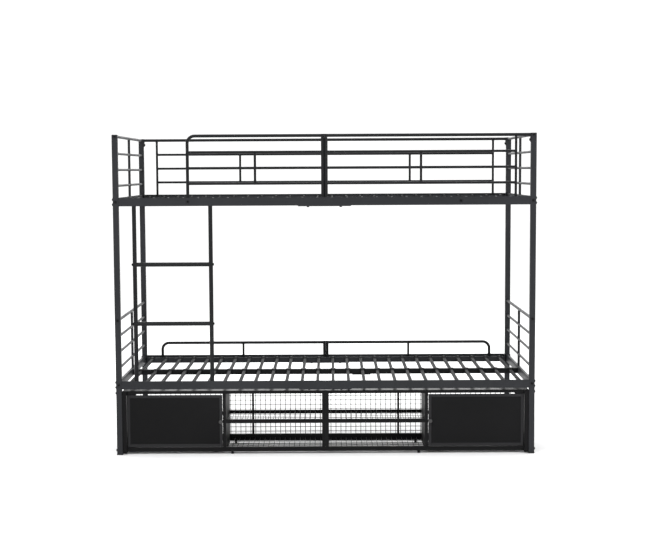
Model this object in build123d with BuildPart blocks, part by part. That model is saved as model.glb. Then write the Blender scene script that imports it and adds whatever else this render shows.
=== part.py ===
from build123d import *
import os

os.makedirs("parts", exist_ok=True)

# Metal bunk bed, twin over twin, with a low storage unit under the front of the lower berth.
# Millimetres. X runs along the bed, -Y is the ladder side, Z is up, z = 0 is the floor.
# The origin is on the floor at the middle of the bed.

# Overall size, measured over the corner posts
bed_length = 1990
bed_width = 1040
bed_height = 1519

# Corner posts
post_size = 27
post_wall = 1.5
post_radius = 3
foot_height = 5
foot_flare = 1
cap_height = 4
cap_inset = 0.2
plug_depth = 18

# Side beams and end beams: a box section with a lip that keeps the mattress in
lower_deck_z = 316
upper_deck_z = 1184
beam_height = 39
ledge_height = 27
ledge_depth = 35
beam_wall = 1.5
beam_inset = 1
end_plate = 3
end_beam_depth = 12
splice_length = 250
splice_plate = 3.5
splice_flange = 18
splice_bolt_x = 77
centre_beam_height = 25
centre_beam_depth = 26
centre_splice_x = 181
centre_splice_length = 92

# Slats
slat_pitch = 75
slats_per_deck = 26
slat_width = 14
slat_height = 10
slat_wall = 1
slat_drop = 5
tab_width = 24
tab_thickness = 2.5
tab_seat = 17
neck_length = 16

# Round tubes of the guards and the end panels
guard_tube = 15
end_rail_tube = 14
end_upright_tube = 13
rail_tube = 12
tube_wall = 1.2
guard_bend = 35
guard_setback = 10.5
guard_top_drop = 8
guard_rail_heights = [1435, 1361, 1288]
upper_end_rail_heights = [1431, 1355, 1280]
lower_end_top = 644
lower_end_rail_heights = [566, 490, 414]
guard_end_x = 899
ladder_side_leg_x = 642
front_left_baluster_x = 325
baluster_x = 454
lower_guard_top = 422
lower_guard_leg_x = 884
lower_baluster_x = 446
rail_socket = 4
guard_tab_width = 20
guard_tab_height = 34
guard_tab_plate = 3
guard_tab_bolt_drop = 24

# Ladder
ladder_left_x = -897
ladder_right_x = -537.5
stile_tube = 20
rung_tube = 20
rung_heights = [628, 909]
rung_insert = 15

# Storage unit
unit_setback = 20
unit_depth = 300
unit_bottom_z = 12
unit_top_z = 304
unit_wall = 1.2
front_bar_depth = 20
rear_bar_depth = 15
bottom_bar_height = 20
rear_bottom_bar_height = 34
top_bar_height = 14
end_stile_width = 19
end_stile_reach = 13.5
end_stile_low_z = 6
door_stile_width = 15
door_stile_x = 490
centre_stile_width = 16
shelf_bar_z = 148
shelf_bar_height = 17
rear_strip_x = 360
rear_strip_width = 10
panel_sheet = 1
panel_post_gap = 6
unit_foot_x = 446
unit_foot_size = 12
mesh_pitch_x = 75
mesh_pitch_y = 66
mesh_wire = 3
mesh_drop = 2

# Cupboard doors
door_frame = 14
door_depth = 11
door_lower_gap = 2.5
door_side_gap = 2
door_hinge_gap = 3
door_air = 0.8
door_sheet = 1.2
door_sheet_setback = 3
pin_diameter = 5
pin_play = 0.05
pin_reach = 12
pin_inset = 7
bracket_length = 46
bracket_height = 5
bracket_gap = 1
knob_diameter = 22
knob_neck = 9
knob_length = 16
knob_z = 157
catch_z = 186
catch_height = 17
catch_width = 12
catch_depth = 14

# Fasteners
bolt_shank = 8
bolt_head = 13
bolt_head_height = 4.5
bolt_head_taper = 18
rail_bolt_shank = 6
bolt_reach = 10
hole_play = 0.2
weld_gap = 0.05
side_bolt_offsets = [31.5, 8]
end_beam_bolt_offset = 19.75
leg_bolt_offset = 20

# Derived places
post_x = bed_length / 2 - post_size / 2
post_y = bed_width / 2 - post_size / 2
post_inner_x = post_x - post_size / 2
post_inner_y = post_y - post_size / 2
post_outer_x = bed_length / 2
post_outer_y = bed_width / 2
post_top_z = bed_height - cap_height
beam_face_y = post_outer_y - beam_inset
ledge_inner_y = beam_face_y - ledge_depth
beam_middle_y = beam_face_y - ledge_depth / 2
guard_y = post_outer_y - guard_setback
guard_top = bed_height - guard_top_drop
half_tube = guard_tube / 2 + weld_gap
bolt_hole = bolt_shank / 2 + hole_play
rail_bolt_hole = rail_bolt_shank / 2 + hole_play
decks = {"lower": lower_deck_z, "upper": upper_deck_z}
sides = {"left": -1, "right": 1}
faces = {"front": -1, "rear": 1}
end_tops = {"lower": lower_end_top, "upper": guard_top}
end_rail_heights = {"lower": lower_end_rail_heights, "upper": upper_end_rail_heights}
slat_places = [(i - (slats_per_deck - 1) / 2) * slat_pitch for i in range(slats_per_deck)]


def save(piece, node):
    piece.part.label = node
    export_step(piece.part, f"parts/{node}.step")


def block(low, high, mode=Mode.ADD):
    """Adds a box between two opposite corners, given in any order."""
    size = [abs(high[i] - low[i]) for i in range(3)]
    with Locations(Vector(*[(low[i] + high[i]) / 2 for i in range(3)])):
        Box(*size, mode=mode)


def box_tube(low, high, run, wall):
    """Adds a rectangular tube between two corners, open at both ends of the axis it runs along."""
    block(low, high)
    inner_low = [min(low[i], high[i]) + (0 if i == run else wall) for i in range(3)]
    inner_high = [max(low[i], high[i]) - (0 if i == run else wall) for i in range(3)]
    block(inner_low, inner_high, Mode.SUBTRACT)


def rod(start, end, radius, mode=Mode.ADD):
    """Adds a solid round rod from one point to another."""
    run = Vector(*end) - Vector(*start)
    with Locations(Plane(origin=Vector(*start), z_dir=run)):
        Cylinder(radius, run.length, align=(Align.CENTER, Align.CENTER, Align.MIN), mode=mode)


def tube(start, end, diameter):
    """Adds a round tube, open at both ends."""
    rod(start, end, diameter / 2)
    rod(start, end, diameter / 2 - tube_wall, Mode.SUBTRACT)


def coped_tube(start, end, diameter):
    """Adds a round tube, and first copes the tubes that are already there to its skin."""
    rod(start, end, diameter / 2 + weld_gap, Mode.SUBTRACT)
    tube(start, end, diameter)


def bent_tube(points, diameter, bend):
    """Adds a round tube whose corner is bent to a radius."""
    with BuildLine() as path:
        FilletPolyline(*points, radius=bend)
    start = Plane(origin=points[0], z_dir=Vector(*points[1]) - Vector(*points[0]))
    with BuildSketch(start) as skin:
        Circle(diameter / 2)
        Circle(diameter / 2 - tube_wall, mode=Mode.SUBTRACT)
    sweep(skin.sketch, path=path.wire())


def bolt(seat, direction, length, shank=bolt_shank):
    """Adds a dome-headed bolt whose head stands on the seat and whose shank runs along direction."""
    way = Vector(*direction)
    with BuildSketch(Plane(origin=Vector(*seat), z_dir=-way)) as disc:
        Circle(bolt_head / 2)
    extrude(disc.sketch, amount=bolt_head_height, taper=bolt_head_taper)
    rod(seat, Vector(*seat) + way * length, shank / 2)


def mesh_panel(plane, width, height, pitch_u, pitch_v):
    """Adds a flat welded-wire panel, centred on the plane, as one sheet with a grid of openings."""
    columns = round(width / pitch_u)
    rows = round(height / pitch_v)
    cell_u = (width - mesh_wire) / columns
    cell_v = (height - mesh_wire) / rows
    with BuildSketch(plane) as net:
        Rectangle(width, height)
        with GridLocations(cell_u, cell_v, columns, rows):
            Rectangle(cell_u - mesh_wire, cell_v - mesh_wire, mode=Mode.SUBTRACT)
    extrude(net.sketch, amount=mesh_wire)


# Corner posts, with clearance holes for the bolts and sockets for the end rails
for face, fy in faces.items():
    for side, sx in sides.items():
        with BuildPart() as post:
            with BuildSketch(Plane.XY.offset(foot_height)):
                with Locations((sx * post_x, fy * post_y)):
                    RectangleRounded(post_size, post_size, post_radius)
                    bore = post_size - 2 * post_wall
                    RectangleRounded(bore, bore, post_radius - post_wall, mode=Mode.SUBTRACT)
            extrude(amount=post_top_z - foot_height)
            for deck, deck_z in decks.items():
                for offset in side_bolt_offsets:
                    near = (sx * post_inner_x, fy * post_y, deck_z + offset)
                    far = (sx * post_outer_x, fy * post_y, deck_z + offset)
                    rod(near, far, bolt_hole, Mode.SUBTRACT)
                beam_bolt_z = deck_z + end_beam_bolt_offset
                near = (sx * post_x, fy * post_inner_y, beam_bolt_z)
                far = (sx * post_x, fy * post_outer_y, beam_bolt_z)
                rod(near, far, bolt_hole, Mode.SUBTRACT)
                near = (sx * post_x, fy * post_inner_y, end_tops[deck])
                far = (sx * post_x, fy * post_outer_y, end_tops[deck])
                rod(near, far, rail_bolt_hole, Mode.SUBTRACT)
                for z in end_rail_heights[deck]:
                    near = (sx * post_x, fy * post_inner_y, z)
                    far = (sx * post_x, fy * (post_inner_y + post_wall), z)
                    rod(near, far, rail_tube / 2 + hole_play, Mode.SUBTRACT)
            if (face, side) != ("front", "left"):
                tab_bolt_z = guard_top - guard_tab_bolt_drop
                near = (sx * post_inner_x, fy * guard_y, tab_bolt_z)
                far = (sx * (post_inner_x + post_wall), fy * guard_y, tab_bolt_z)
                rod(near, far, rail_bolt_hole, Mode.SUBTRACT)
            if face == "front":
                for z in (unit_top_z - top_bar_height / 2, unit_bottom_z + bottom_bar_height / 2):
                    near = (sx * post_inner_x, fy * post_y, z)
                    far = (sx * post_outer_x, fy * post_y, z)
                    rod(near, far, bolt_hole, Mode.SUBTRACT)
        save(post, f"post_{face}_{side}")

post_spots = [(sx * post_x, fy * post_y) for sx in sides.values() for fy in faces.values()]
plug_size = post_size - 2 * post_wall - 2 * hole_play

# Plastic caps pushed into the post tops, cleared for the top rail bolts
with BuildPart() as post_caps:
    with BuildSketch(Plane.XY.offset(post_top_z)):
        with Locations(post_spots):
            RectangleRounded(post_size - 2 * cap_inset, post_size - 2 * cap_inset, post_radius)
    extrude(amount=cap_height)
    chamfer(post_caps.faces().group_by(Axis.Z)[-1].edges(), cap_height * 0.4)
    with BuildSketch(Plane.XY.offset(post_top_z)):
        with Locations(post_spots):
            RectangleRounded(plug_size, plug_size, post_radius - post_wall)
    extrude(amount=-plug_depth)
    for x, y in post_spots:
        near = (x, y - post_size, guard_top)
        far = (x, y + post_size, guard_top)
        rod(near, far, rail_bolt_hole, Mode.SUBTRACT)
save(post_caps, "post_caps")

# Plastic feet pushed into the post bottoms
with BuildPart() as post_feet:
    with BuildSketch():
        with Locations(post_spots):
            RectangleRounded(post_size + 2 * foot_flare, post_size + 2 * foot_flare, post_radius)
    extrude(amount=foot_height)
    chamfer(post_feet.faces().group_by(Axis.Z)[0].edges(), foot_flare)
    with BuildSketch(Plane.XY.offset(foot_height)):
        with Locations(post_spots):
            RectangleRounded(plug_size, plug_size, post_radius - post_wall)
    extrude(amount=(unit_bottom_z - foot_height) / 2)
save(post_feet, "post_feet")

# Side beams in two halves, each with an end plate that bolts to its post
for deck, deck_z in decks.items():
    for face, fy in faces.items():
        for side, sx in sides.items():
            plate_x = post_inner_x - weld_gap
            ends = sorted((sx * weld_gap, sx * (plate_x - end_plate)))
            with BuildPart() as beam:
                with BuildSketch(Plane.YZ.offset(ends[0])):
                    with Locations((fy * beam_middle_y, deck_z + ledge_height / 2)):
                        Rectangle(ledge_depth, ledge_height)
                        bore = (ledge_depth - 2 * beam_wall, ledge_height - 2 * beam_wall)
                        Rectangle(*bore, mode=Mode.SUBTRACT)
                    with Locations((fy * (beam_face_y - beam_wall / 2), deck_z + beam_height / 2)):
                        Rectangle(beam_wall, beam_height)
                extrude(amount=ends[1] - ends[0])
                low = (sx * plate_x, fy * beam_face_y, deck_z)
                high = (sx * (plate_x - end_plate), fy * ledge_inner_y, deck_z + beam_height)
                block(low, high)
                for offset in side_bolt_offsets:
                    near = (sx * plate_x, fy * post_y, deck_z + offset)
                    far = (sx * (plate_x - bolt_reach - end_plate), fy * post_y, deck_z + offset)
                    rod(near, far, bolt_hole, Mode.SUBTRACT)
                near = (sx * splice_bolt_x, fy * beam_middle_y, deck_z)
                far = (sx * splice_bolt_x, fy * beam_middle_y, deck_z + beam_wall)
                rod(near, far, bolt_hole, Mode.SUBTRACT)
                if (deck, face) == ("upper", "front"):
                    leg_bolt_z = deck_z + leg_bolt_offset
                    near = (sx * ladder_side_leg_x, fy * beam_face_y, leg_bolt_z)
                    far = (sx * ladder_side_leg_x, fy * (beam_face_y - beam_wall), leg_bolt_z)
                    rod(near, far, rail_bolt_hole, Mode.SUBTRACT)
                if (deck, face, side) == ("upper", "front", "left"):
                    near = (sx * ladder_side_leg_x, fy * guard_y, deck_z + ledge_height - beam_wall)
                    far = (sx * ladder_side_leg_x, fy * guard_y, deck_z + ledge_height)
                    rod(near, far, guard_tube / 2 + hole_play, Mode.SUBTRACT)
            save(beam, f"side_beam_{deck}_{face}_{side}")

# Angle plates that join the beam halves from below
with BuildPart() as beam_splices:
    for deck_z in decks.values():
        for fy in faces.values():
            bottom_z = deck_z - weld_gap
            low = (-splice_length / 2, fy * beam_face_y, bottom_z)
            high = (splice_length / 2, fy * (ledge_inner_y - splice_plate), bottom_z - splice_plate)
            block(low, high)
            low = (-splice_length / 2, fy * (ledge_inner_y - weld_gap), bottom_z)
            high = (splice_length / 2, fy * (ledge_inner_y - splice_plate), bottom_z + splice_flange)
            block(low, high)
            for sx in sides.values():
                near = (sx * splice_bolt_x, fy * beam_middle_y, bottom_z - splice_plate)
                far = (sx * splice_bolt_x, fy * beam_middle_y, bottom_z)
                rod(near, far, bolt_hole, Mode.SUBTRACT)
save(beam_splices, "beam_splices")

# End panels: an end beam, one upright, three thin rails and a top rail
for deck, deck_z in decks.items():
    for side, sx in sides.items():
        x = sx * post_x
        reach = post_inner_y - weld_gap
        beam_low = (x - end_beam_depth / 2, -reach, deck_z)
        beam_high = (x + end_beam_depth / 2, reach, deck_z + beam_height)
        with BuildPart() as end_panel:
            for z in end_rail_heights[deck]:
                tube((x, -post_inner_y - rail_socket, z), (x, post_inner_y + rail_socket, z), rail_tube)
            top_z = end_tops[deck]
            upright_top_z = top_z - end_rail_tube / 2 - weld_gap
            coped_tube((x, 0, deck_z + beam_height + weld_gap), (x, 0, upright_top_z), end_upright_tube)
            tube((x, -reach, top_z), (x, reach, top_z), end_rail_tube)
            box_tube(beam_low, beam_high, 1, beam_wall)
            for fy in faces.values():
                low = (beam_low[0], fy * reach, beam_low[2])
                high = (beam_high[0], fy * (reach - end_plate), beam_high[2])
                block(low, high)
                near = (x, fy * reach, deck_z + end_beam_bolt_offset)
                far = (x, fy * (reach - end_plate), deck_z + end_beam_bolt_offset)
                rod(near, far, bolt_hole, Mode.SUBTRACT)
        save(end_panel, f"end_panel_{deck}_{side}")

# Centre beams under the slats, each in two lengths, with a channel at the joint
centre_end_x = post_x - end_beam_depth / 2 - weld_gap
for deck, deck_z in decks.items():
    top_z = deck_z + ledge_height
    with BuildPart() as centre_beam:
        for start_x, end_x in ((-centre_end_x, centre_splice_x - weld_gap), (centre_splice_x, centre_end_x)):
            low = (start_x, -centre_beam_depth / 2, top_z - centre_beam_height)
            box_tube(low, (end_x, centre_beam_depth / 2, top_z), 0, beam_wall)
    save(centre_beam, f"centre_beam_{deck}")

with BuildPart() as centre_beam_sleeves:
    for deck_z in decks.values():
        beam_bottom_z = deck_z + ledge_height - centre_beam_height
        inner = centre_beam_depth / 2 + weld_gap
        outer = inner + splice_plate
        start_x = centre_splice_x - centre_splice_length / 2
        end_x = centre_splice_x + centre_splice_length / 2
        low = (start_x, -outer, beam_bottom_z - weld_gap - splice_plate)
        block(low, (end_x, outer, beam_bottom_z + splice_flange))
        low = (start_x, -inner, beam_bottom_z - weld_gap)
        block(low, (end_x, inner, beam_bottom_z + splice_flange), Mode.SUBTRACT)
save(centre_beam_sleeves, "centre_beam_sleeves")

# Slats: a flat tube that hangs a little low, with a flattened tab at each end
slat_top = ledge_height - slat_drop
slat_bottom = slat_top - slat_height
tube_outer_y = ledge_inner_y - neck_length
tube_inner_y = centre_beam_depth / 2 + neck_length
for face, fy in faces.items():
    with BuildPart() as slat:
        low = (-slat_width / 2, fy * tube_outer_y, slat_bottom)
        box_tube(low, (slat_width / 2, fy * tube_inner_y, slat_top), 1, slat_wall)
        for beam_y, tube_y in ((ledge_inner_y, tube_outer_y), (centre_beam_depth / 2, tube_inner_y)):
            with BuildSketch(Plane.YZ) as neck:
                with BuildLine():
                    Polyline(
                        (fy * beam_y, ledge_height + weld_gap),
                        (fy * beam_y, ledge_height + weld_gap + tab_thickness),
                        (fy * tube_y, slat_top),
                        (fy * tube_y, slat_bottom),
                        close=True,
                    )
                make_face()
            extrude(neck.sketch, amount=slat_width / 2, both=True)
        tab_low_z = ledge_height + weld_gap
        tab_high_z = tab_low_z + tab_thickness
        outer_tab = (ledge_inner_y, ledge_inner_y + tab_seat)
        inner_tab = (centre_beam_depth / 2, weld_gap)
        for edge_y, far_y in (outer_tab, inner_tab):
            low = (-tab_width / 2, fy * edge_y, tab_low_z)
            block(low, (tab_width / 2, fy * far_y, tab_high_z))
    for deck, deck_z in decks.items():
        with BuildPart() as slats:
            with Locations([(x, 0, deck_z) for x in slat_places]):
                add(slat.part)
        save(slats, f"slats_{deck}_{face}")


def guard_tab(side_x, y):
    """Adds the plate at the end of a top tube, cleared for its bolt."""
    plate_x = post_inner_x - weld_gap
    low = (side_x * plate_x, y - guard_tab_width / 2, guard_top - guard_tab_height)
    high = (side_x * (plate_x - guard_tab_plate), y + guard_tab_width / 2, guard_top + guard_tube / 2)
    block(low, high)
    near = (side_x * plate_x, y, guard_top - guard_tab_bolt_drop)
    far = (side_x * (plate_x - guard_tab_plate), y, guard_top - guard_tab_bolt_drop)
    rod(near, far, rail_bolt_hole, Mode.SUBTRACT)


# Upper guards: a top tube, three thin rails, an upright at each end and a short baluster
for face, fy in faces.items():
    for side, sx in sides.items():
        y = fy * guard_y
        ledge_z = upper_deck_z + ledge_height + weld_gap
        has_leg = (face, side) == ("front", "left")
        outer_x = ladder_side_leg_x if has_leg else guard_end_x
        middle_x = front_left_baluster_x if has_leg else baluster_x
        with BuildPart() as guard:
            for z in guard_rail_heights:
                tube((sx * half_tube, y, z), (sx * outer_x, y, z), rail_tube)
            low_z = min(guard_rail_heights) + rail_tube / 2 + weld_gap
            high_z = max(guard_rail_heights) - rail_tube / 2 - weld_gap
            coped_tube((sx * middle_x, y, low_z), (sx * middle_x, y, high_z), rail_tube)
            if has_leg:
                leg_z = upper_deck_z + beam_wall + weld_gap
                corner = (sx * outer_x, y, guard_top)
                inner = (sx * half_tube, y, guard_top)
                rod((sx * outer_x, y, ledge_z), corner, half_tube, Mode.SUBTRACT)
                bent_tube([(sx * outer_x, y, leg_z), corner, inner], guard_tube, guard_bend)
                leg_bolt_z = upper_deck_z + leg_bolt_offset
                near = (sx * outer_x, fy * beam_face_y, leg_bolt_z)
                rod(near, (sx * outer_x, y, leg_bolt_z), rail_bolt_hole, Mode.SUBTRACT)
            else:
                upright_top_z = guard_top - half_tube
                coped_tube((sx * outer_x, y, ledge_z), (sx * outer_x, y, upright_top_z), rail_tube)
                tab_x = post_inner_x - guard_tab_plate - 2 * weld_gap
                tube((sx * half_tube, y, guard_top), (sx * tab_x, y, guard_top), guard_tube)
                guard_tab(sx, y)
            tube((sx * half_tube, y, ledge_z), (sx * half_tube, y, guard_top + guard_tube / 2), guard_tube)
        save(guard, f"guard_upper_{face}_{side}")

# Low mattress guard at the back of the lower berth
for side, sx in sides.items():
    y = guard_y
    ledge_z = lower_deck_z + ledge_height + weld_gap
    with BuildPart() as guard:
        corner = (sx * lower_guard_leg_x, y, lower_guard_top)
        inner = (sx * half_tube, y, lower_guard_top)
        bent_tube([(sx * lower_guard_leg_x, y, ledge_z), corner, inner], guard_tube, guard_bend)
        upright_top_z = lower_guard_top - half_tube
        tube((sx * lower_baluster_x, y, ledge_z), (sx * lower_baluster_x, y, upright_top_z), rail_tube)
        tube((sx * half_tube, y, ledge_z), (sx * half_tube, y, lower_guard_top + guard_tube / 2), guard_tube)
    save(guard, f"guard_lower_rear_{side}")

# Ladder between the two front beams
ladder_y = -post_y
ladder_low_z = lower_deck_z + ledge_height + weld_gap
ladder_high_z = upper_deck_z - weld_gap
with BuildPart() as ladder_stiles:
    for x in (ladder_left_x, ladder_right_x):
        tube((x, ladder_y, ladder_low_z), (x, ladder_y, ladder_high_z), stile_tube)
        for z in rung_heights:
            near = (x - stile_tube, ladder_y, z)
            rod(near, (x + stile_tube, ladder_y, z), bolt_hole, Mode.SUBTRACT)
save(ladder_stiles, "ladder_stiles")

with BuildPart() as ladder_rungs:
    for z in rung_heights:
        near = (ladder_left_x, ladder_y, z)
        far = (ladder_right_x, ladder_y, z)
        tube(near, far, rung_tube)
        for x, way in ((ladder_left_x, 1), (ladder_right_x, -1)):
            insert_x = x + way * (stile_tube / 2 + rung_insert)
            rod((x, ladder_y, z), (insert_x, ladder_y, z), rung_tube / 2 - tube_wall)
            rod((x, ladder_y, z), (insert_x, ladder_y, z), bolt_hole, Mode.SUBTRACT)
            near = (x, ladder_y, z - rung_tube)
            rod(near, (x, ladder_y, z + rung_tube), stile_tube / 2 + weld_gap, Mode.SUBTRACT)
save(ladder_rungs, "ladder_rungs")

# Storage unit levels and planes, each side made as a left and a right half
unit_front_y = unit_setback - post_outer_y
unit_rear_y = unit_front_y + unit_depth
front_inner_y = unit_front_y + front_bar_depth
rear_inner_y = unit_rear_y - rear_bar_depth
front_bottom_top_z = unit_bottom_z + bottom_bar_height
rear_bottom_top_z = unit_bottom_z + rear_bottom_bar_height
top_bar_z = unit_top_z - top_bar_height
shelf_top_z = shelf_bar_z + shelf_bar_height
end_stile_outer_x = post_inner_x - weld_gap
end_stile_inner_x = end_stile_outer_x - end_stile_width
bar_end_x = end_stile_inner_x - weld_gap
door_stile_inner_x = door_stile_x - door_stile_width
hinge_x = end_stile_inner_x - door_hinge_gap - pin_inset
hinge_y = unit_front_y + door_depth / 2
bracket_z = top_bar_z - bracket_height
pin_hole = pin_diameter / 2 + pin_play

for side, sx in sides.items():
    # Front frame: three bars, the stile beside the door and the stile at the middle
    with BuildPart() as front_frame:
        low_y, high_y = unit_front_y, front_inner_y
        low = (sx * weld_gap, low_y, top_bar_z)
        box_tube(low, (sx * bar_end_x, high_y, unit_top_z), 0, unit_wall)
        low = (sx * weld_gap, low_y, unit_bottom_z)
        box_tube(low, (sx * bar_end_x, high_y, front_bottom_top_z), 0, unit_wall)
        stile_low_z = front_bottom_top_z + weld_gap
        stile_high_z = top_bar_z - weld_gap
        low = (sx * door_stile_x, low_y, stile_low_z)
        box_tube(low, (sx * door_stile_inner_x, high_y, stile_high_z), 2, unit_wall)
        low = (sx * weld_gap, low_y, stile_low_z)
        box_tube(low, (sx * centre_stile_width, high_y, stile_high_z), 2, unit_wall)
        low = (sx * (centre_stile_width + weld_gap), low_y, shelf_bar_z)
        high = (sx * (door_stile_inner_x - weld_gap), high_y, shelf_top_z)
        box_tube(low, high, 0, unit_wall)
        low = (sx * bar_end_x, low_y, bracket_z)
        block(low, (sx * (bar_end_x - bracket_length), high_y, top_bar_z - weld_gap))
        near = (sx * hinge_x, hinge_y, front_bottom_top_z - pin_reach)
        rod(near, (sx * hinge_x, hinge_y, top_bar_z), pin_hole, Mode.SUBTRACT)
        foot_x = sx * unit_foot_x
        half_foot = unit_foot_size / 2
        middle_y = (low_y + high_y) / 2
        low = (foot_x - half_foot, middle_y - half_foot, 0)
        block(low, (foot_x + half_foot, middle_y + half_foot, unit_bottom_z - weld_gap))
    save(front_frame, f"storage_front_frame_{side}")

    # Back frame: bars behind those of the front frame, with a flat strip in the open bay
    with BuildPart() as back_frame:
        low_y, high_y = rear_inner_y, unit_rear_y
        low = (sx * weld_gap, low_y, top_bar_z)
        box_tube(low, (sx * bar_end_x, high_y, unit_top_z), 0, unit_wall)
        low = (sx * weld_gap, low_y, unit_bottom_z)
        box_tube(low, (sx * bar_end_x, high_y, rear_bottom_top_z), 0, unit_wall)
        stile_low_z = rear_bottom_top_z + weld_gap
        low = (sx * door_stile_x, low_y, stile_low_z)
        box_tube(low, (sx * door_stile_inner_x, high_y, stile_high_z), 2, unit_wall)
        low = (sx * weld_gap, low_y, stile_low_z)
        box_tube(low, (sx * centre_stile_width, high_y, stile_high_z), 2, unit_wall)
        low = (sx * (centre_stile_width + weld_gap), low_y, shelf_bar_z)
        high = (sx * (door_stile_inner_x - weld_gap), high_y, shelf_top_z)
        box_tube(low, high, 0, unit_wall)
        strip_x = (sx * (rear_strip_x - rear_strip_width / 2), sx * (rear_strip_x + rear_strip_width / 2))
        for low_z, high_z in ((stile_low_z, shelf_bar_z - weld_gap), (shelf_top_z + weld_gap, stile_high_z)):
            block((strip_x[0], low_y, low_z), (strip_x[1], high_y, high_z))
        middle_y = (low_y + high_y) / 2
        low = (foot_x - half_foot, middle_y - half_foot, 0)
        block(low, (foot_x + half_foot, middle_y + half_foot, unit_bottom_z - weld_gap))
    save(back_frame, f"storage_back_frame_{side}")

    # End frame: a stile bolted inside the post, a stile at the back, two rails and a sheet
    with BuildPart() as end_frame:
        x_pair = (sx * end_stile_inner_x, sx * end_stile_outer_x)
        low = (x_pair[0], unit_front_y - end_stile_reach, end_stile_low_z)
        box_tube(low, (x_pair[1], front_inner_y, unit_top_z), 2, unit_wall)
        low = (x_pair[0], rear_inner_y, end_stile_low_z)
        box_tube(low, (x_pair[1], unit_rear_y, unit_top_z), 2, unit_wall)
        rail_low_y = front_inner_y + weld_gap
        rail_high_y = rear_inner_y - weld_gap
        for low_z, high_z in ((unit_bottom_z, front_bottom_top_z), (top_bar_z, unit_top_z)):
            box_tube((x_pair[0], rail_low_y, low_z), (x_pair[1], rail_high_y, high_z), 1, unit_wall)
        low = (sx * (end_stile_outer_x - panel_sheet), rail_low_y, front_bottom_top_z + weld_gap)
        block(low, (sx * end_stile_outer_x, rail_high_y, stile_high_z))
        for z in (unit_top_z - top_bar_height / 2, unit_bottom_z + bottom_bar_height / 2):
            near = (sx * end_stile_outer_x, -post_y, z)
            rod(near, (sx * (end_stile_outer_x - unit_wall), -post_y, z), bolt_hole, Mode.SUBTRACT)
    save(end_frame, f"storage_end_frame_{side}")

    # Partition between the cupboard and the open bay, with the door catch on its front stile
    with BuildPart() as partition:
        low = (sx * door_stile_inner_x, front_inner_y + weld_gap, unit_bottom_z)
        block(low, (sx * (door_stile_inner_x + panel_sheet), rear_inner_y - weld_gap, unit_top_z))
        catch_y = unit_front_y + door_depth + door_air
        low = (sx * (door_stile_x + weld_gap), catch_y, catch_z)
        high = (sx * (door_stile_x + catch_width), catch_y + catch_depth, catch_z + catch_height)
        block(low, high)
    save(partition, f"storage_partition_{side}")

    # Top sheet, kept clear of the post
    with BuildPart() as top_panel:
        low = (sx * weld_gap, unit_front_y, unit_top_z + weld_gap)
        high = (sx * (post_inner_x - panel_post_gap), unit_rear_y, unit_top_z + weld_gap + panel_sheet)
        block(low, high)
    save(top_panel, f"storage_top_panel_{side}")

    # Wire back, behind the back frame from the floor bar to the top bar
    with BuildPart() as back_mesh:
        mesh_width = end_stile_outer_x - weld_gap
        mesh_height = unit_top_z - unit_bottom_z
        origin = (sx * (weld_gap + mesh_width / 2), unit_rear_y + weld_gap, unit_bottom_z + mesh_height / 2)
        back = Plane(origin=origin, x_dir=(-1, 0, 0), z_dir=(0, 1, 0))
        mesh_panel(back, mesh_width, mesh_height, mesh_pitch_x, mesh_pitch_y)
    save(back_mesh, f"storage_back_mesh_{side}")

# Wire floors of the bays and cupboards, and wire shelves of the open bays
floor_depth = rear_inner_y - front_inner_y - 2 * weld_gap
floor_middle_y = (rear_inner_y + front_inner_y) / 2
open_bay = (weld_gap, door_stile_inner_x - weld_gap)
cupboard_bay = (door_stile_inner_x + panel_sheet + weld_gap, bar_end_x)
with BuildPart() as floor_mesh:
    for sx in sides.values():
        for start_x, end_x in (open_bay, cupboard_bay):
            origin = (sx * (start_x + end_x) / 2, floor_middle_y, front_bottom_top_z - mesh_drop - mesh_wire)
            mesh_panel(Plane(origin=origin), end_x - start_x, floor_depth, mesh_pitch_x, mesh_pitch_y)
save(floor_mesh, "storage_floor_mesh")

with BuildPart() as shelf_mesh:
    for sx in sides.values():
        start_x, end_x = open_bay
        origin = (sx * (start_x + end_x) / 2, floor_middle_y, shelf_top_z - mesh_drop - mesh_wire)
        mesh_panel(Plane(origin=origin), end_x - start_x, floor_depth, mesh_pitch_x, mesh_pitch_y)
save(shelf_mesh, "storage_shelf_mesh")

# Cupboard doors: a rim around a sheet that is set back, bored for the hinge pins
door_outer_x = end_stile_inner_x - door_hinge_gap
door_inner_x = door_stile_x + door_side_gap
door_bottom_z = front_bottom_top_z + door_lower_gap
door_top_z = bracket_z - bracket_gap
door_back_y = unit_front_y + door_depth
for side, sx in sides.items():
    with BuildPart() as door:
        block((sx * door_inner_x, unit_front_y, door_bottom_z), (sx * door_outer_x, door_back_y, door_top_z))
        rim_x = (sx * (door_inner_x + door_frame), sx * (door_outer_x - door_frame))
        rim_z = (door_bottom_z + door_frame, door_top_z - door_frame)
        sheet_y = unit_front_y + door_sheet_setback
        low = (rim_x[0], unit_front_y, rim_z[0])
        block(low, (rim_x[1], sheet_y, rim_z[1]), Mode.SUBTRACT)
        low = (rim_x[0], sheet_y + door_sheet, rim_z[0])
        block(low, (rim_x[1], door_back_y, rim_z[1]), Mode.SUBTRACT)
        bore = pin_reach + door_lower_gap
        for end_z, way in ((door_bottom_z, 1), (door_top_z, -1)):
            near = (sx * hinge_x, hinge_y, end_z)
            rod(near, (sx * hinge_x, hinge_y, end_z + way * bore), pin_hole, Mode.SUBTRACT)
    save(door, f"door_{side}")

with BuildPart() as hinge_pins:
    for sx in sides.values():
        near = (sx * hinge_x, hinge_y, front_bottom_top_z - pin_reach)
        rod(near, (sx * hinge_x, hinge_y, door_bottom_z + pin_reach), pin_diameter / 2)
        near = (sx * hinge_x, hinge_y, door_top_z - pin_reach)
        rod(near, (sx * hinge_x, hinge_y, top_bar_z - weld_gap), pin_diameter / 2)
save(hinge_pins, "hinge_pins")

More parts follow.
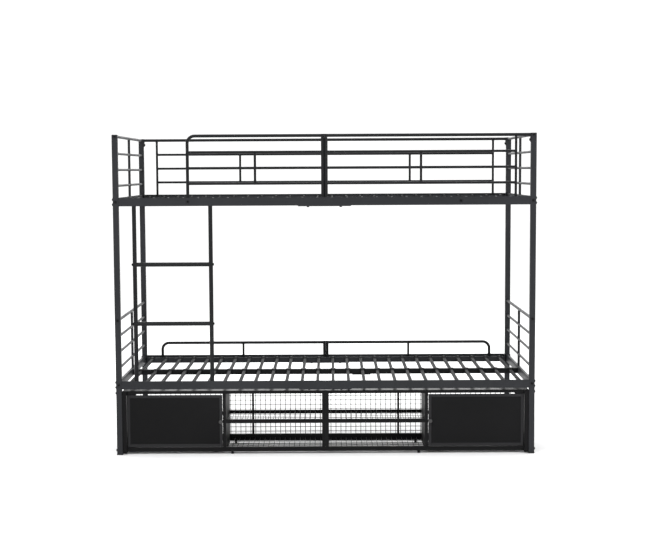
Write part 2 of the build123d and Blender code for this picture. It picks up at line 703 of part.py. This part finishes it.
# Round pulls at the free edges of the doors
for side, sx in sides.items():
    with BuildPart() as knob:
        knob_x = sx * (door_inner_x + door_frame / 2)
        front = Plane(origin=(knob_x, unit_front_y - weld_gap, knob_z), x_dir=(1, 0, 0), z_dir=(0, -1, 0))
        with BuildSketch(front) as neck:
            Circle(knob_neck / 2)
        extrude(neck.sketch, amount=knob_length / 2)
        with BuildSketch(front.offset(knob_length / 2)) as disc:
            Circle(knob_diameter / 2)
        extrude(disc.sketch, amount=knob_length / 2)
        fillet(knob.faces().sort_by(Axis.Y)[0].edges(), knob_length / 5)
    save(knob, f"knob_{side}")

# Bolts through the posts into the side beams, and up into the beam joints
with BuildPart() as beam_bolts:
    for deck_z in decks.values():
        for fy in faces.values():
            for sx in sides.values():
                for offset in side_bolt_offsets:
                    seat = (sx * (post_outer_x + weld_gap), fy * post_y, deck_z + offset)
                    bolt(seat, (-sx, 0, 0), post_size + bolt_reach)
                seat = (sx * splice_bolt_x, fy * beam_middle_y, deck_z - splice_plate - 2 * weld_gap)
                bolt(seat, (0, 0, 1), bolt_reach)
save(beam_bolts, "beam_bolts")

# Bolts through the posts into the end beams and the top rails of the end panels
with BuildPart() as end_panel_bolts:
    for deck, deck_z in decks.items():
        for fy in faces.values():
            for sx in sides.values():
                seat_y = fy * (post_outer_y + weld_gap)
                seat = (sx * post_x, seat_y, deck_z + end_beam_bolt_offset)
                bolt(seat, (0, -fy, 0), post_size + bolt_reach)
                seat = (sx * post_x, seat_y, end_tops[deck])
                bolt(seat, (0, -fy, 0), post_size + bolt_reach, rail_bolt_shank)
save(end_panel_bolts, "end_panel_bolts")

# Bolts of the guard tabs and of the leg beside the ladder, with its twin on the other beam half
with BuildPart() as guard_bolts:
    for face, fy in faces.items():
        for side, sx in sides.items():
            if (face, side) != ("front", "left"):
                seat_x = sx * (post_inner_x - guard_tab_plate - 2 * weld_gap)
                seat = (seat_x, fy * guard_y, guard_top - guard_tab_bolt_drop)
                bolt(seat, (sx, 0, 0), bolt_reach, rail_bolt_shank)
    for sx in sides.values():
        seat = (sx * ladder_side_leg_x, -beam_face_y - weld_gap, upper_deck_z + leg_bolt_offset)
        bolt(seat, (0, 1, 0), beam_face_y - guard_y, rail_bolt_shank)
save(guard_bolts, "guard_bolts")

with BuildPart() as ladder_bolts:
    for x, way in ((ladder_left_x, 1), (ladder_right_x, -1)):
        for z in rung_heights:
            seat = (x - way * (stile_tube / 2 + weld_gap), ladder_y, z)
            bolt(seat, (way, 0, 0), stile_tube + rung_insert)
save(ladder_bolts, "ladder_bolts")

with BuildPart() as storage_bolts:
    for sx in sides.values():
        for z in (unit_top_z - top_bar_height / 2, unit_bottom_z + bottom_bar_height / 2):
            bolt((sx * (post_outer_x + weld_gap), -post_y, z), (-sx, 0, 0), post_size + bolt_reach)
save(storage_bolts, "storage_bolts")
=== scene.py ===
import bmesh
import bpy
from math import cos, pi, sin
from mathutils import Matrix, Vector


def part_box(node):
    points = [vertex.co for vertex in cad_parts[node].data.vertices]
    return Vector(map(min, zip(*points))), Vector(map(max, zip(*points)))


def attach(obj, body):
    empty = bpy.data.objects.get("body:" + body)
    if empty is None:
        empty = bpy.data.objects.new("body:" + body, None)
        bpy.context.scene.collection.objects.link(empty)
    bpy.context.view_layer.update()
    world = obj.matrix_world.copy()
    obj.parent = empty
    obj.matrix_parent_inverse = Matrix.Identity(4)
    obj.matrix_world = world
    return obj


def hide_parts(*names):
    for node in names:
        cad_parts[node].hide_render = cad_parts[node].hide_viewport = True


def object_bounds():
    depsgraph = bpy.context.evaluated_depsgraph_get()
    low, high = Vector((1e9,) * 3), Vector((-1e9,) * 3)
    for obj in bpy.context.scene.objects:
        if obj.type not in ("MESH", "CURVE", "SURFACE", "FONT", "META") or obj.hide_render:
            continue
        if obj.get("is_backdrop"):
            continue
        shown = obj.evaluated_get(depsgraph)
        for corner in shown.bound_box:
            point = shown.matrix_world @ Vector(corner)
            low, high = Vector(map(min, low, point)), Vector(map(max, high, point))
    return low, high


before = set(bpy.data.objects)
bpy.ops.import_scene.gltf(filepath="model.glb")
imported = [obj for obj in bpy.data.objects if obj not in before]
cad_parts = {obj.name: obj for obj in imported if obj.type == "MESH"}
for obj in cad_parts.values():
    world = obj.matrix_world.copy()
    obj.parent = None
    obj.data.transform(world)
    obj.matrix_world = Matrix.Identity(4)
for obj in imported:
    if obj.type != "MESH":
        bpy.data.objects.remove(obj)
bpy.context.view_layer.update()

# The photograph's camera in the bed's frame: metres, radians and pixels, with the sensor in millimetres
picture_width = 650
sensor_width = 36.0
focal_pixels = 1526.2
camera_place = (0.0278, -7.7039, 1.3480)
camera_yaw = -0.00384
camera_pitch = 0.09745
camera_roll = -0.00496
centre_drop_pixels = 44.05

# Wire panels: wires are given by radius, and the tip sizes as shares of it
mm = 0.001
back_wire = 1.45 * mm
back_edge_wire = 1.45 * mm
back_pitch_x = 24.7 * mm
back_pitch_z = 22.4 * mm
floor_wire = 1.1 * mm
floor_edge_wire = 1.3 * mm
floor_pitch_y = 52 * mm
wire_end_gap = 0.2 * mm
wire_layer_share = 0.8
wire_sides = 8
wire_tip_radius = 0.35
wire_tip_length = 0.5
same_place = 1e-6

# Doors: the rim with its rounded edges, its slope down to the sheet, and the sheet
door_rim = 14 * mm
rim_back_round = 0.6 * mm
rim_front_round = 1.6 * mm
rim_front_turn = 0.5 * mm
slope_start = 3.5 * mm
slope_turn = 2.4 * mm
slope_turn_depth = 0.4 * mm
door_sheet_setback = 3 * mm
door_sheet = 1.2 * mm

# Slat screws: the head's outline as shares of its radius and height, ending in the recess
screw_radius = 4.5 * mm
screw_height = 2.0 * mm
screw_sides = 16
screw_outline = [(1.0, 0.0), (0.96, 0.45), (0.72, 0.85), (0.4, 1.0), (0.34, 0.5)]
screw_outer_inset = 8 * mm
screw_inner_inset = 6.4 * mm
slat_pitch = 75 * mm
slat_count = 26

# Weld beads, and the solids that get one at each end: round, long enough and thin enough
weld_bead = 0.9 * mm
bead_flatness = 0.8
bead_ripple = 0.16
bead_ripple_count = 7
bead_ripple_shift = 31
bead_around = 18
bead_across = 6
tube_round_slack = 1.5 * mm
tube_shortest = 30 * mm
tube_widest_radius = 8 * mm

# Studio floor with a curved rise to the backdrop, in metres
floor_half_width = 14.0
floor_front = -14.0
floor_back = 9.0
rise_radius = 3.0
rise_steps = 12
backdrop_top = 10.0
paper_tone = (0.93, 0.93, 0.93)

# Each light: place, aim, width and depth in metres, then power in watts
bed_middle = (0, 0, 0.8)
lights = {
    "key": ((-3.5, -6.0, 5.0), bed_middle, (4.0, 3.0), 210),
    "fill": ((4.5, -5.5, 3.5), bed_middle, (4.0, 3.0), 120),
    "top": ((0, 0.5, 6.0), (0, 0, 0), (6.0, 4.0), 260),
    "back": ((0, 5.5, 3.5), bed_middle, (6.0, 3.0), 120),
}
world_strength = 0.9

# Painted highlight on the sharp edges of powder coat: where the highlight starts and is full, its
# strength, and its paler tone
edge_highlight_start = 0.62
edge_highlight_full = 0.8
edge_highlight_strength = 0.4
edge_highlight_gain = 1.6
edge_highlight_lift = 0.004

# Sockets of a colour mix, by number
mix_factor, mix_first, mix_second, mix_result = 0, 6, 7, 2


def new_material(name, specular, coat, coat_roughness):
    material = bpy.data.materials.new(name)
    material.use_nodes = True
    tree = material.node_tree
    surface = tree.nodes["Principled BSDF"]
    surface.inputs["Metallic"].default_value = 0.0
    surface.inputs["Specular IOR Level"].default_value = specular
    surface.inputs["Coat Weight"].default_value = coat
    surface.inputs["Coat Roughness"].default_value = coat_roughness
    return material, tree, surface


def object_place(tree):
    return tree.nodes.new("ShaderNodeTexCoord").outputs["Object"]


def noise(tree, place, scale, detail):
    texture = tree.nodes.new("ShaderNodeTexNoise")
    texture.inputs["Scale"].default_value = scale
    texture.inputs["Detail"].default_value = detail
    tree.links.new(place, texture.inputs["Vector"])
    return texture.outputs["Fac"]


def ramp(tree, value, first, last):
    """Turns a value into a colour between two stops, each a position and a colour."""
    node = tree.nodes.new("ShaderNodeValToRGB")
    for element, (position, colour) in zip(node.color_ramp.elements, (first, last)):
        element.position = position
        element.color = (*colour, 1)
    tree.links.new(value, node.inputs["Fac"])
    return node.outputs["Color"]


def span(tree, value, low, high):
    """Spreads a value from 0 to 1 over another range."""
    node = tree.nodes.new("ShaderNodeMapRange")
    node.inputs["To Min"].default_value = low
    node.inputs["To Max"].default_value = high
    tree.links.new(value, node.inputs["Value"])
    return node.outputs["Result"]


def bump(tree, surface, height, strength, distance):
    node = tree.nodes.new("ShaderNodeBump")
    node.inputs["Strength"].default_value = strength
    node.inputs["Distance"].default_value = distance
    tree.links.new(height, node.inputs["Height"])
    tree.links.new(node.outputs["Normal"], surface.inputs["Normal"])


def powder_coat(name, dark, light, roughness, specular, coat, grain_scale, grain_depth):
    """Black powder coat: a faint drift of tone, fine orange peel and a painted highlight that makes
    sharp edges slightly paler.
    """
    material, tree, surface = new_material(name, specular, coat, coat_roughness=0.22)
    place = object_place(tree)
    drift = noise(tree, place, scale=3.2, detail=3)
    peel = noise(tree, place, scale=grain_scale, detail=4)
    smudge = noise(tree, place, scale=17, detail=5)
    tone = ramp(tree, drift, (0.3, dark), (0.7, light))
    # Painted highlight: sharp edges, found by pointiness, are mixed towards a paler tone
    bend = tree.nodes.new("ShaderNodeNewGeometry").outputs["Pointiness"]
    edge_highlight = ramp(tree, bend, (edge_highlight_start, (0, 0, 0)), (edge_highlight_full, (edge_highlight_strength,) * 3))
    edge_highlight_tone = [channel * edge_highlight_gain + edge_highlight_lift for channel in light]
    mix = tree.nodes.new("ShaderNodeMix")
    mix.data_type = "RGBA"
    tree.links.new(edge_highlight, mix.inputs[mix_factor])
    tree.links.new(tone, mix.inputs[mix_first])
    mix.inputs[mix_second].default_value = (*edge_highlight_tone, 1)
    tree.links.new(mix.outputs[mix_result], surface.inputs["Base Color"])
    tree.links.new(span(tree, smudge, roughness - 0.07, roughness + 0.09), surface.inputs["Roughness"])
    bump(tree, surface, peel, strength=0.25, distance=grain_depth)
    return material


def moulded(name, colour, roughness, coat):
    """Moulded black plastic: a soft grain and slightly uneven gloss."""
    material, tree, surface = new_material(name, specular=0.3, coat=coat, coat_roughness=0.15)
    place = object_place(tree)
    grain = noise(tree, place, scale=900, detail=3)
    cloud = noise(tree, place, scale=60, detail=2)
    paler = [channel * 1.5 for channel in colour]
    tree.links.new(ramp(tree, cloud, (0.35, colour), (0.7, paler)), surface.inputs["Base Color"])
    tree.links.new(span(tree, cloud, roughness - 0.08, roughness + 0.08), surface.inputs["Roughness"])
    bump(tree, surface, grain, strength=0.3, distance=0.0002)
    return material


def paper(name, colour):
    """Matt white paper with a very faint cloud."""
    material, tree, surface = new_material(name, specular=0.2, coat=0.0, coat_roughness=0.5)
    cloud = noise(tree, object_place(tree), scale=0.6, detail=2)
    paler = [channel * 1.01 for channel in colour]
    tree.links.new(ramp(tree, cloud, (0.3, colour), (0.7, paler)), surface.inputs["Base Color"])
    surface.inputs["Roughness"].default_value = 0.9
    return material


frame_paint = powder_coat(
    "frame_powder_coat", dark=(0.014, 0.015, 0.017), light=(0.020, 0.021, 0.024),
    roughness=0.45, specular=0.16, coat=0.02, grain_scale=1500, grain_depth=0.00012,
)
# Painted shade: the frame's powder coat made darker for the round guard and ladder tubes, which fall in
# shade
tube_shaded_paint = powder_coat(
    "tube_powder_coat_painted_shade", dark=(0.006, 0.0065, 0.0072), light=(0.010, 0.0105, 0.0115),
    roughness=0.36, specular=0.13, coat=0.02, grain_scale=1500, grain_depth=0.00012,
)
# Painted shade: the frame's powder coat made darker, with less sheen, for the slats and centre beams
slat_shaded_paint = powder_coat(
    "slat_powder_coat_painted_shade", dark=(0.008, 0.0085, 0.009), light=(0.013, 0.0135, 0.014),
    roughness=0.6, specular=0.07, coat=0.0, grain_scale=1300, grain_depth=0.00012,
)
# Painted shade: the frame's powder coat made darker for the storage unit's sheets and door panels, which
# sit low in shade
sheet_shaded_paint = powder_coat(
    "sheet_powder_coat_painted_shade", dark=(0.004, 0.004, 0.0043), light=(0.006, 0.006, 0.0065),
    roughness=0.5, specular=0.09, coat=0.0, grain_scale=1100, grain_depth=0.0001,
)
top_paint = powder_coat(
    "top_sheet_gloss", dark=(0.005, 0.005, 0.0055), light=(0.008, 0.008, 0.009),
    roughness=0.3, specular=0.12, coat=0.04, grain_scale=700, grain_depth=0.00006,
)
# Painted highlight: the door sheet's coat made paler on the door rims, where the pressed edges catch the
# light
rim_highlight_paint = powder_coat(
    "rim_powder_coat_painted_highlight", dark=(0.009, 0.009, 0.010), light=(0.013, 0.013, 0.0145),
    roughness=0.45, specular=0.2, coat=0.02, grain_scale=1100, grain_depth=0.0001,
)
wire_paint = powder_coat(
    "wire_powder_coat", dark=(0.004, 0.004, 0.0045), light=(0.007, 0.007, 0.008),
    roughness=0.5, specular=0.1, coat=0.0, grain_scale=2200, grain_depth=0.00008,
)
fastener_finish = powder_coat(
    "black_fastener", dark=(0.003, 0.003, 0.0033), light=(0.006, 0.006, 0.0065),
    roughness=0.4, specular=0.12, coat=0.0, grain_scale=1800, grain_depth=0.00008,
)
screw_finish = powder_coat(
    "slat_screw_steel", dark=(0.05, 0.05, 0.052), light=(0.12, 0.12, 0.125),
    roughness=0.35, specular=0.4, coat=0.1, grain_scale=1800, grain_depth=0.00006,
)
cap_plastic = moulded("cap_plastic", colour=(0.004, 0.004, 0.0043), roughness=0.5, coat=0.0)
knob_plastic = moulded("knob_plastic", colour=(0.003, 0.003, 0.0033), roughness=0.12, coat=0.7)


def finish_for(node):
    if node.startswith("storage_top_panel"):
        return top_paint
    if node.endswith("bolts") or node == "hinge_pins":
        return fastener_finish
    if "mesh" in node:
        return wire_paint
    if node.startswith(("slats_", "centre_beam")):
        return slat_shaded_paint
    if node.startswith(("guard_", "ladder_")):
        return tube_shaded_paint
    if node.startswith(("storage_", "door_")):
        return sheet_shaded_paint
    if node in ("post_caps", "post_feet"):
        return cap_plastic
    if node.startswith("knob_"):
        return knob_plastic
    return frame_paint


for node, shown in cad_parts.items():
    shown.data.materials.clear()
    shown.data.materials.append(finish_for(node))


def new_object(name, mesh, material, smooth=True):
    for polygon in mesh.polygons:
        polygon.use_smooth = smooth
    mesh.materials.append(material)
    shown = bpy.data.objects.new(name, mesh)
    bpy.context.scene.collection.objects.link(shown)
    return shown


def add_piece(name, mesh, material, body, smooth=True):
    piece = new_object(name, mesh, material, smooth)
    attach(piece, body)
    return piece


def mesh_from(name, bm):
    mesh = bpy.data.meshes.new(name)
    bm.to_mesh(mesh)
    bm.free()
    return mesh


def circle(sides):
    """The cosine and sine of each corner of a regular outline."""
    angles = [2 * pi * k / sides for k in range(sides)]
    return [(cos(angle), sin(angle)) for angle in angles]


def skin(bm, rings):
    """Joins rings of vertices into one closed shape, and returns the faces between the rings."""
    count = len(rings[0])
    faces = []
    for low, high in zip(rings, rings[1:]):
        for k in range(count):
            after = (k + 1) % count
            faces.append(bm.faces.new((low[k], low[after], high[after], high[k])))
    bm.faces.new(list(reversed(rings[0])))
    bm.faces.new(rings[-1])
    return faces


def box(node):
    low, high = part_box(node)
    return Vector(low), Vector(high)


def islands(node):
    """Boxes of the separate solids of a node, in the frame."""
    bm = bmesh.new()
    bm.from_mesh(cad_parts[node].data)
    bmesh.ops.remove_doubles(bm, verts=bm.verts, dist=same_place)
    seen, found = set(), []
    for seed in bm.verts:
        if seed.index in seen:
            continue
        stack, group = [seed], []
        seen.add(seed.index)
        while stack:
            vert = stack.pop()
            group.append(vert.co.copy())
            for edge in vert.link_edges:
                other = edge.other_vert(vert)
                if other.index not in seen:
                    seen.add(other.index)
                    stack.append(other)
        low = Vector([min(p[a] for p in group) for a in range(3)])
        high = Vector([max(p[a] for p in group) for a in range(3)])
        found.append((low, high))
    bm.free()
    return found


def wire(bm, start, end, radius):
    """Adds a round wire with narrowed tips."""
    start, end = Vector(start), Vector(end)
    way = (end - start).normalized()
    turn = way.to_track_quat("Z", "Y").to_matrix()
    tip = way * radius * wire_tip_length
    stations = [(start, wire_tip_radius), (start + tip, 1), (end - tip, 1), (end, wire_tip_radius)]
    rings = []
    for centre, share in stations:
        ring = [turn @ Vector((x, y, 0)) * radius * share for x, y in circle(wire_sides)]
        rings.append([bm.verts.new(centre + offset) for offset in ring])
    skin(bm, rings)


def places(low, high, pitch):
    """Evenly spaced positions from one end to the other, close to a pitch."""
    count = max(1, round((high - low) / pitch))
    return [low + (high - low) * k / count for k in range(count + 1)]


def wire_panel(name, node, flat_axis, pitches, thin_wire, edge_wire):
    """Replaces a mesh node with crossed round wires and an edge wire around each panel."""
    bm = bmesh.new()
    first, second = [axis for axis in range(3) if axis != flat_axis]
    for low, high in islands(node):
        middle = (low[flat_axis] + high[flat_axis]) / 2
        half_depth = (high[flat_axis] - low[flat_axis]) / 2
        for run, across, layer in ((first, second, -1), (second, first, 1)):
            spots = places(low[across] + edge_wire, high[across] - edge_wire, pitches[across])
            for index, spot in enumerate(spots):
                radius = edge_wire if index in (0, len(spots) - 1) else thin_wire
                offset = max(0, min(thin_wire * wire_layer_share, half_depth - radius))
                start, end = [0, 0, 0], [0, 0, 0]
                start[run], end[run] = low[run] + wire_end_gap, high[run] - wire_end_gap
                start[across] = end[across] = spot
                start[flat_axis] = end[flat_axis] = middle + layer * offset
                wire(bm, start, end, radius)
    piece = add_piece(name, mesh_from(name, bm), wire_paint, "root")
    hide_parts(node)


# Pitches by axis: wires that lie side by side along an axis are that far apart
back_pitches = {0: back_pitch_x, 2: back_pitch_z}
floor_pitches = {0: back_pitch_x, 1: floor_pitch_y}
for side in ("left", "right"):
    node = f"storage_back_mesh_{side}"
    wire_panel(f"back_wires_{side}", node, 1, back_pitches, back_wire, back_edge_wire)
for node, name in (("storage_floor_mesh", "floor_wires"), ("storage_shelf_mesh", "shelf_wires")):
    wire_panel(name, node, 2, floor_pitches, floor_wire, floor_edge_wire)


def pan_door(side):
    """A pressed door: rounded rim, a step down to the sheet, and a flat hollow back."""
    node = f"door_{side}"
    low, high = box(node)
    front, back = low.y, high.y
    sheet_front = front + door_sheet_setback
    sheet_back = sheet_front + door_sheet
    outline = [
        (door_rim, sheet_back),
        (door_rim, back),
        (rim_back_round, back),
        (0, back - rim_back_round),
        (0, front + rim_front_round),
        (rim_front_turn, front + rim_front_turn),
        (rim_front_round, front),
        (door_rim - slope_start, front),
        (door_rim - slope_turn, front + slope_turn_depth),
        (door_rim, sheet_front),
    ]
    bm = bmesh.new()
    rings = []
    for inset, y in outline:
        left, right = low.x + inset, high.x - inset
        bottom, top = low.z + inset, high.z - inset
        corners = ((left, bottom), (right, bottom), (right, top), (left, top))
        rings.append([bm.verts.new((x, y, z)) for x, z in corners])
    # Painted highlight: the rim faces take the paler rim paint, while the recessed sheet keeps the
    # darker sheet paint
    for face in skin(bm, rings):
        face.material_index = 1
    bmesh.ops.recalc_face_normals(bm, faces=bm.faces)
    piece = add_piece(f"pan_door_{side}", mesh_from(node, bm), sheet_shaded_paint, node, False)
    piece.data.materials.append(rim_highlight_paint)
    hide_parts(node)


for side in ("left", "right"):
    pan_door(side)


def screw(bm, seat):
    """Adds a round screw head with a recess, standing up from its seat."""
    rings = []
    for share, rise in screw_outline:
        radius = share * screw_radius
        ring = [Vector((x * radius, y * radius, rise * screw_height)) for x, y in circle(screw_sides)]
        rings.append([bm.verts.new(Vector(seat) + offset) for offset in ring])
    skin(bm, rings)


# Screws that hold the slat tabs to the side beams and the centre beams
screws = bmesh.new()
for deck in ("lower", "upper"):
    for face, way in (("front", -1), ("rear", 1)):
        low, high = box(f"slats_{deck}_{face}")
        outer = max(abs(low.y), abs(high.y)) - screw_outer_inset
        inner = min(abs(low.y), abs(high.y)) + screw_inner_inset
        for index in range(slat_count):
            x = (index - (slat_count - 1) / 2) * slat_pitch
            for y in (outer, inner):
                screw(screws, (x, way * y, high.z))
add_piece("slat_screws", mesh_from("slat_screws", screws), screw_finish, "root")


def bead(bm, centre, axis, radius):
    """Adds a thin, slightly uneven weld bead around a tube."""
    turn = Vector(axis).to_track_quat("Z", "Y").to_matrix()
    rings = []
    for k in range(bead_around):
        angle = 2 * pi * k / bead_around
        ripple = sin(angle * bead_ripple_count + centre[0] * bead_ripple_shift)
        size = weld_bead * (1 + bead_ripple * ripple)
        ring = []
        for x, y in circle(bead_across):
            out = radius + size * x * bead_flatness
            spot = turn @ Vector((cos(angle) * out, sin(angle) * out, size * y))
            ring.append(bm.verts.new(Vector(centre) + spot))
        rings.append(ring)
    for k in range(bead_around):
        this, following = rings[k], rings[(k + 1) % bead_around]
        for j in range(bead_across):
            after = (j + 1) % bead_across
            bm.faces.new((this[j], following[j], following[after], this[after]))


# Weld beads at the ends of the thin straight tubes that are solids of their own
beads = bmesh.new()
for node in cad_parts:
    if not node.startswith(("guard_", "end_panel_")) or node.endswith("bolts"):
        continue
    for low, high in islands(node):
        size = high - low
        run = max(range(3), key=lambda a: size[a])
        widths = [size[a] for a in range(3) if a != run]
        radius = min(widths) / 2
        uneven = abs(widths[0] - widths[1]) > tube_round_slack
        if uneven or size[run] < tube_shortest or radius > tube_widest_radius:
            continue
        axis = [0, 0, 0]
        axis[run] = 1
        for end in (low[run] + weld_bead, high[run] - weld_bead):
            centre = (low + high) / 2
            centre[run] = end
            bead(beads, centre, axis, radius)
add_piece("weld_beads", mesh_from("weld_beads", beads), frame_paint, "root")


def stage_floor():
    bm = bmesh.new()
    rise_start = floor_back - rise_radius
    outline = [(floor_front, 0), (rise_start, 0)]
    for step in range(1, rise_steps + 1):
        angle = pi / 2 * step / rise_steps
        outline.append((rise_start + rise_radius * sin(angle), rise_radius - rise_radius * cos(angle)))
    outline.append((floor_back, backdrop_top))
    rows = [[bm.verts.new((x, y, z)) for x in (-floor_half_width, floor_half_width)] for y, z in outline]
    for low, high in zip(rows, rows[1:]):
        bm.faces.new((low[0], low[1], high[1], high[0]))
    mesh = mesh_from("studio_floor", bm)
    floor = new_object("studio_floor", mesh, paper("studio_paper", paper_tone))
    floor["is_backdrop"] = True


def area_light(name, place, aim, size, power):
    data = bpy.data.lights.new(name, "AREA")
    data.shape = "RECTANGLE"
    data.size, data.size_y = size
    data.energy = power
    light = bpy.data.objects.new(name, data)
    light.location = place
    light.rotation_euler = (Vector(aim) - Vector(place)).to_track_quat("-Z", "Y").to_euler()
    bpy.context.scene.collection.objects.link(light)


stage_floor()
for name, (place, aim, size, power) in lights.items():
    area_light(name, place, aim, size, power)

world = bpy.data.worlds.new("studio")
bpy.context.scene.world = world
world.use_nodes = True
world.node_tree.nodes["Background"].inputs["Color"].default_value = (1, 1, 1, 1)
world.node_tree.nodes["Background"].inputs["Strength"].default_value = world_strength
bpy.context.scene.view_settings.view_transform = "Standard"


def photograph_camera():
    level = cos(camera_pitch)
    forward = Vector((sin(camera_yaw) * level, cos(camera_yaw) * level, -sin(camera_pitch)))
    right = forward.cross(Vector((0, 0, 1))).normalized()
    up = right.cross(forward)
    rolled_right = right * cos(camera_roll) + up * sin(camera_roll)
    rolled_up = up * cos(camera_roll) - right * sin(camera_roll)
    data = bpy.data.cameras.new("photograph")
    data.sensor_width = sensor_width
    data.lens = focal_pixels * sensor_width / picture_width
    data.shift_y = centre_drop_pixels / picture_width
    camera = bpy.data.objects.new("photograph", data)
    turn = Matrix((rolled_right, rolled_up, -forward)).transposed().to_4x4()
    camera.matrix_world = Matrix.Translation(camera_place) @ turn
    bpy.context.scene.collection.objects.link(camera)
    bpy.context.scene.camera = camera


photograph_camera()

low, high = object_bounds()
